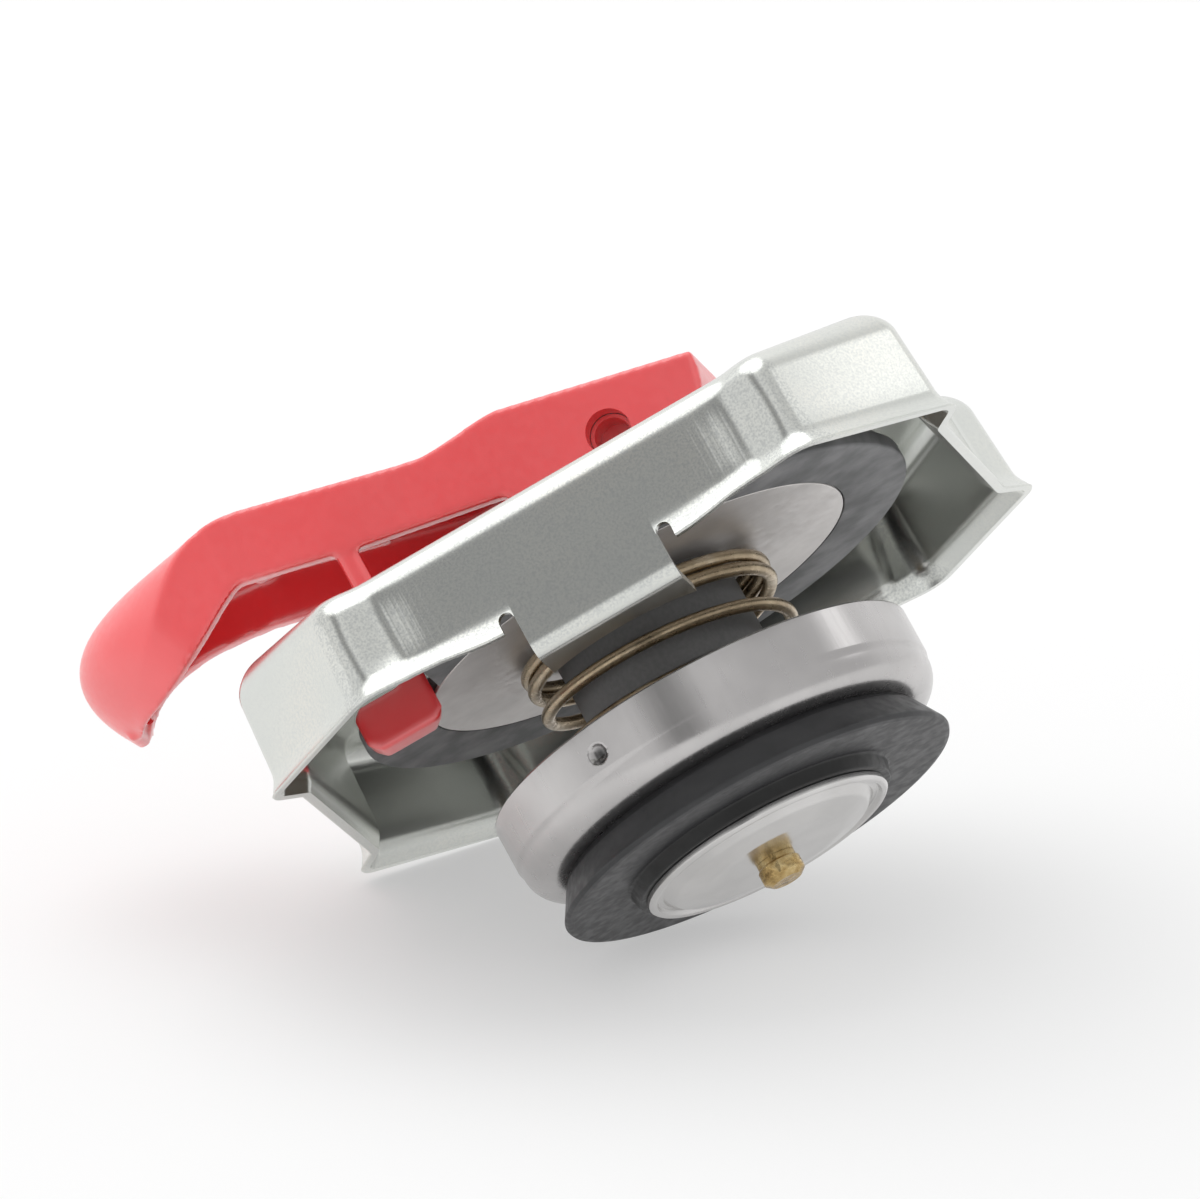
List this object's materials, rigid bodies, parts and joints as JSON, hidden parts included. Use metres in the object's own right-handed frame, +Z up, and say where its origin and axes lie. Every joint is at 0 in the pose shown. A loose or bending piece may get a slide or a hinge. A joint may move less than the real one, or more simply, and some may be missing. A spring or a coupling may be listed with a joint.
{
  "type": "radiator cap",
  "caption": "Pressure cap for a radiator filler neck: drawn steel shell with cam fingers, sprung valve cup with rubber seal and vacuum valve, and a red vent lever that lifts the valve.",
  "frame": {"origin": "on the cap's axis, in the seat plane: the underside of the neck gasket", "axes": "+Z up the cap's axis with the lever on top, -X along the lever towards its finger end"},
  "size_m": [0.0851, 0.0692, 0.0548],
  "materials": {
    "zinc_shell": "bright zinc plate with a fine grain",
    "dark_steel": "plain pressed steel",
    "bright_steel": "satin pressed steel",
    "gasket_rubber": "matt, mottled",
    "black_rubber": "matt black",
    "black_nylon": "matt",
    "red_nylon": "moulded, satin gloss",
    "spring_steel": "tan passivated wire",
    "brass": "turned brass"
  },
  "bodies": {
    "cap": {"cap_shell": "zinc_shell", "backing_plate": "dark_steel", "neck_gasket": "gasket_rubber", "diaphragm_disc": "bright_steel", "centre_bush": "bright_steel", "stem_ring": "black_rubber", "guide_sleeve": "black_nylon", "pressure_spring": "spring_steel"},
    "lifter": {"lift_stem": "bright_steel", "lift_yoke": "bright_steel", "lift_collar": "bright_steel", "lever_pin": "red_nylon"},
    "lever": {"lever": "red_nylon"},
    "pressure_valve": {"spring_plate": "bright_steel", "valve_cup": "bright_steel", "valve_seal": "black_rubber", "seal_retainer": "bright_steel", "vacuum_spring": "spring_steel"},
    "vacuum_valve": {"vacuum_plate": "bright_steel", "vacuum_stem": "brass", "vacuum_clip": "bright_steel"}
  },
  "joints": [
    {"name": "stem_lift", "type": "slide", "parent": "cap", "child": "lifter", "axis": [0, 0, 1], "range_m": [0, 0.0045], "deforming": ["pressure_spring"]},
    {"name": "lever_pivot", "type": "hinge", "parent": "lifter", "child": "lever", "pos_m": [0.0064, 0, 0.013], "axis": [0, 1, 0], "range_deg": [0, 90]},
    {"name": "pressure_relief", "type": "slide", "parent": "lifter", "child": "pressure_valve", "axis": [0, 0, 1], "range_m": [0, 0.002], "stiffness_N_per_m": 1000, "springref_m": -0.02, "deforming": ["pressure_spring"]},
    {"name": "vacuum_relief", "type": "slide", "parent": "pressure_valve", "child": "vacuum_valve", "axis": [0, 0, -1], "range_m": [0, 0.0015], "stiffness_N_per_m": 450, "springref_m": -0.003, "deforming": ["vacuum_spring"]}
  ],
  "couplings": [
    {"joint": "stem_lift", "follows": "lever_pivot", "m_per_rad": 0.0028648}
  ]
}
